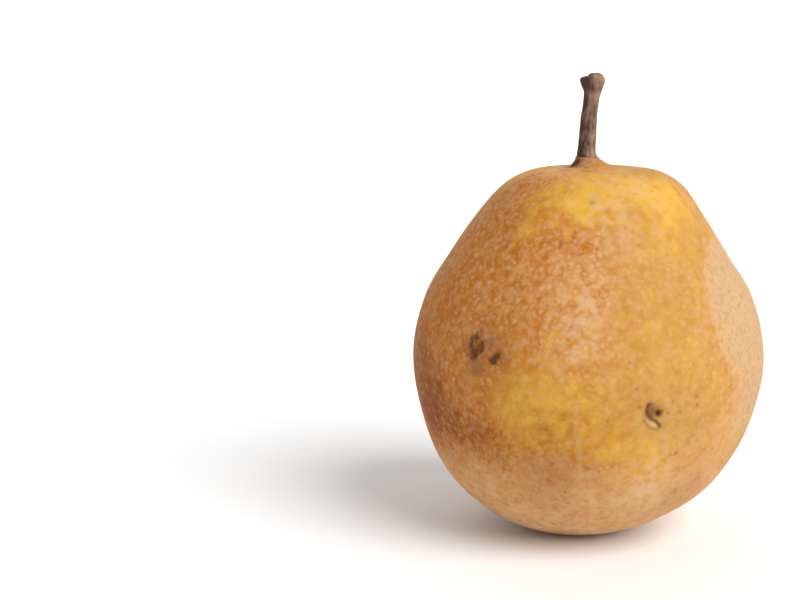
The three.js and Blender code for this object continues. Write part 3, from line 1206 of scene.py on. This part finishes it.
def dried_material(settings):
    """Grey-brown dried calyx, darker in its folds as painted shade where its bump dips."""
    material, maker, position, shader = new_material("dried_calyx_husk", 0.9)
    paint = paints(settings, "dried", "dark_dried")
    folds = maker.noise(position, size=0.8, seed=71.0, detail=3.0)
    # The folds' dark colour is painted shade, laid where the bump dips
    husk = maker.coated(paint["dark_dried"], (maker.step(folds, 0.4, 0.65), paint["dried"]))
    maker.feed(shader.inputs["Base Color"], husk)
    set_bump(maker, shader, folds * DRY_BUMP)
    return material


def ringed(name, rings, settings, material, forms):
    """A piece skinned over its rings, with these forms and as many faces as its settings say."""
    values = {"Around": settings.around, "Along": settings.along, "Material": material, **forms}
    return grown(name, profile_mesh(rings), bpy.data.node_groups["Ringed Solid"], values)


def settle(piece, node):
    """Fixes a piece to the body, and hides the node that it takes the place of, if one is given."""
    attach(piece, BODY)
    if node:
        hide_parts(node)


class PEAR_OT_skin(bpy.types.Operator):
    """Make the fruit's skin, with its collar, basin and blemishes"""
    bl_idname = "pear.skin"
    bl_label = "Fruit Skin"

    def execute(self, context):
        settings = context.scene.pear_skin_settings
        material = skin_material(settings)
        skin = ringed("fruit_skin", fruit_rings(), settings, material, {
            "Waves": LOBES,
            "Wave Turn": LOBE_TURN,
            **form_inputs("Low Wave", BASE_LOBE),
            **form_inputs("High Wave", CROWN_LOBE),
            **form_inputs("Hollow", FURROW),
            "Ovalness": OVALNESS,
        })
        refine(skin, [on_skin(*CRATER), on_skin(*SCAR)])
        relief = {"Swell": settings.swell / MM, "Material": material}
        skin = grown_again(skin, skin_relief_tree(), relief)
        settle(skin, "pear_body")
        return {"FINISHED"}


class PEAR_OT_stem(bpy.types.Operator):
    """Make the woody stem with its knob"""
    bl_idname = "pear.stem"
    bl_label = "Stem"

    def execute(self, context):
        settings = context.scene.pear_stem_settings
        material = bark_material(settings)
        stem = ringed("woody_stem", stem_rings(), settings, material, {
            "Waves": STEM_RIDGE_COUNT,
            **form_inputs("Low Wave", STEM_RIDGES),
            **form_inputs("Hollow", KNOB_BUMP),
        })
        relief = {"Furrow": settings.furrow / MM, "Material": material}
        stem = grown_again(stem, bark_relief_tree(), relief)
        settle(stem, "stem")
        return {"FINISHED"}


def lofted(name, sections):
    """A closed mesh through loops of points, drawn to a point at each end."""
    mesh = bmesh.new()
    loops = [[mesh.verts.new(point) for point in section] for section in sections]
    for low, high in zip(loops, loops[1:]):
        for number in range(len(low)):
            after = (number + 1) % len(low)
            mesh.faces.new((low[number], low[after], high[after], high[number]))
    for loop in (loops[0][::-1], loops[-1]):
        tip = mesh.verts.new(sum((vertex.co for vertex in loop), Vector()) / len(loop))
        for number in range(len(loop)):
            mesh.faces.new((loop[number], loop[(number + 1) % len(loop)], tip))
    bmesh.ops.recalc_face_normals(mesh, faces=mesh.faces)
    made = bpy.data.meshes.new(name)
    mesh.to_mesh(made)
    mesh.free()
    return made


def blade(name, path_mm, width_at, thickness_mm, curl, across=12, steps=6):
    """A blade along a path of distances and heights: its width follows its length, and its edges
    curl inwards."""
    path = [Vector((distance, 0, height)) for distance, height in smoothed(path_mm, steps)]
    sections = []
    for number, point in enumerate(path):
        ahead = path[min(number + 1, len(path) - 1)] - path[max(number - 1, 0)]
        outward = Vector((0, 1, 0)).cross(ahead).normalized()
        half = width_at(number / (len(path) - 1)) / 2
        section = []
        for step in range(across):
            angle = math.tau * step / across
            side = half * math.cos(angle)
            lift = thickness_mm / 2 * math.sin(angle) - curl * math.cos(angle) ** 2 * half
            section.append((point + Vector((0, side, 0)) + outward * lift) * MM)
        sections.append(section)
    return lofted(name, sections)


def sepal_mesh(width_mm):
    """One sepal, which narrows from its root to its tip."""
    def width_at(along):
        return width_mm * (1 - SEPAL_TAPER * along ** SEPAL_TAPER_POWER)

    return blade("sepal", SEPAL_PATH, width_at, SEPAL_THICKNESS, SEPAL_CURL)


def stamen_mesh():
    """One stamen, a thread of even width."""
    return blade(
        "stamen", STAMEN_PATH, lambda along: STAMEN_WIDTH, STAMEN_THICKNESS, curl=0.0, across=6, steps=5
    )


class PEAR_OT_calyx(bpy.types.Operator):
    """Make the dried calyx: its cup, its sepals and its stamens"""
    bl_idname = "pear.calyx"
    bl_label = "Calyx"

    def execute(self, context):
        settings = context.scene.pear_calyx_settings
        material = dried_material(settings)
        crumple = crumple_tree()
        copies = ring_of_copies_tree()
        middle = (FLANK_RINGS[0][2] * MM, FLANK_RINGS[0][3] * MM, 0)
        cup = ringed("calyx_cup", cup_rings(), settings, material, {})
        shared = {"Middle": middle, "Material": material}
        sepals = grown("calyx_sepals", sepal_mesh(settings.sepal_width / MM), copies, {
            "Count": settings.sepals, **SEPAL_SPREADS, **shared,
        })
        stamens = grown("calyx_stamens", stamen_mesh(), copies, {
            "Count": settings.stamens, **STAMEN_SPREADS, **shared,
        })
        for piece in (cup, sepals, stamens):
            piece = grown_again(piece, crumple, {"Crumple": settings.crumple / MM, "Material": material})
            settle(piece, "calyx" if piece.name == "calyx_cup" else None)
        return {"FINISHED"}


def paper_sweep():
    """A sheet of paper that lies under the pear and curves up behind it."""
    half_width = 2.0
    front, bend_start, bend_radius, top = -1.6, 1.0, 0.6, 2.2
    bend_steps = 16
    line = [(front, 0.0)]
    for step in range(bend_steps + 1):
        angle = math.pi / 2 * step / bend_steps
        line.append((bend_start + bend_radius * math.sin(angle), bend_radius * (1 - math.cos(angle))))
    line.append((bend_start + bend_radius, top))
    points = [(side * half_width, back, height) for back, height in line for side in (-1, 1)]
    faces = [(2 * n, 2 * n + 1, 2 * n + 3, 2 * n + 2) for n in range(len(line) - 1)]
    mesh = bpy.data.meshes.new("paper_sweep")
    mesh.from_pydata(points, [], faces)
    mesh.shade_smooth()
    sweep = bpy.data.objects.new("paper_sweep", mesh)
    bpy.context.scene.collection.objects.link(sweep)
    return sweep


def paper_material(settings):
    """White paper with a faint, large tooth."""
    paper, maker, position, shader = new_material("white_paper", 0.9)
    tooth = maker.noise(position, size=30.0, seed=81.0, detail=2.0)
    white = (*settings.paper, 1.0)
    off_white = (*(PAPER_TOOTH * value for value in settings.paper), 1.0)
    maker.feed(shader.inputs["Base Color"], maker.mix(tooth, off_white, white))
    return paper


def add_world(scene, settings):
    """Even white light from all round."""
    world = bpy.data.worlds.new("soft_white")
    world.use_nodes = True
    background = world.node_tree.nodes["Background"]
    background.inputs["Color"].default_value = (1, 1, 1, 1)
    background.inputs["Strength"].default_value = settings.sky
    scene.world = world


def add_key_light(scene, settings):
    """A wide soft light from above and right of the camera, as even on the paper as on the pear."""
    light = bpy.data.lights.new("key_light", "SUN")
    light.energy = settings.key
    light.angle = settings.key_size
    holder = bpy.data.objects.new("key_light", light)
    holder.rotation_euler = (-KEY_DIRECTION).to_track_quat("-Z", "Y").to_euler()
    scene.collection.objects.link(holder)


def add_camera(scene):
    """A camera whose picture holds the pear's core point at the core pixel, with level verticals."""
    pixels_per_focus = PHOTO_WIDTH * CAMERA_LENS / CAMERA_SENSOR
    right = (CORE_PIXEL[0] - PHOTO_WIDTH / 2) / pixels_per_focus
    up = (PHOTO_HEIGHT / 2 - CORE_PIXEL[1]) / pixels_per_focus
    reach = math.sqrt(right ** 2 + up ** 2 + 1)
    pitch = math.asin(-reach * math.sin(CAMERA_RISE) / math.sqrt(1 + up ** 2)) - math.atan(up)
    yaw = -math.atan2(right, math.cos(pitch) - up * math.sin(pitch))
    data = bpy.data.cameras.new("portrait_camera")
    data.lens = CAMERA_LENS
    data.sensor_width = CAMERA_SENSOR
    camera = bpy.data.objects.new("portrait_camera", data)
    back = Vector((0, -math.cos(CAMERA_RISE), math.sin(CAMERA_RISE)))
    camera.location = CORE_POINT + CAMERA_DISTANCE * back
    camera.rotation_euler = (math.pi / 2 + pitch, 0, -yaw)
    scene.collection.objects.link(camera)
    scene.camera = camera


class PEAR_OT_stage(bpy.types.Operator):
    """Set the camera, the lights and a sheet of paper under and behind the pear"""
    bl_idname = "pear.stage"
    bl_label = "Studio Stage"

    def execute(self, context):
        scene = context.scene
        settings = scene.pear_stage_settings
        scene.view_settings.view_transform = "Standard"
        add_world(scene, settings)
        add_camera(scene)
        add_key_light(scene, settings)
        sweep = paper_sweep()
        sweep.data.materials.append(paper_material(settings))
        return {"FINISHED"}


class PEAR_PT_pieces(bpy.types.Panel):
    """The pear's pieces and their settings"""
    bl_idname = "PEAR_PT_pieces"
    bl_label = "Russet Pear"
    bl_space_type = "VIEW_3D"
    bl_region_type = "UI"
    bl_category = "Russet Pear"

    def draw(self, context):
        for operator, settings in zip(OPERATORS, SETTINGS):
            box = self.layout.box()
            box.operator(operator.bl_idname)
            group = getattr(context.scene, settings)
            for name in group.__annotations__:
                box.prop(group, name)


OPERATORS = (PEAR_OT_skin, PEAR_OT_stem, PEAR_OT_calyx, PEAR_OT_stage)


def register():
    for settings_class in SETTINGS.values():
        bpy.utils.register_class(settings_class)
    for name, settings_class in SETTINGS.items():
        setattr(bpy.types.Scene, name, PointerProperty(type=settings_class))
    for shown_class in (*OPERATORS, PEAR_PT_pieces):
        bpy.utils.register_class(shown_class)


def unregister():
    for shown_class in (PEAR_PT_pieces, *reversed(OPERATORS)):
        bpy.utils.unregister_class(shown_class)
    for name, settings_class in SETTINGS.items():
        delattr(bpy.types.Scene, name)
        bpy.utils.unregister_class(settings_class)


def main():
    register()
    ringed_solid_tree()
    bpy.ops.pear.skin()
    bpy.ops.pear.stem()
    bpy.ops.pear.calyx()
    bpy.ops.pear.stage()


if __name__ == "__main__":
    main()
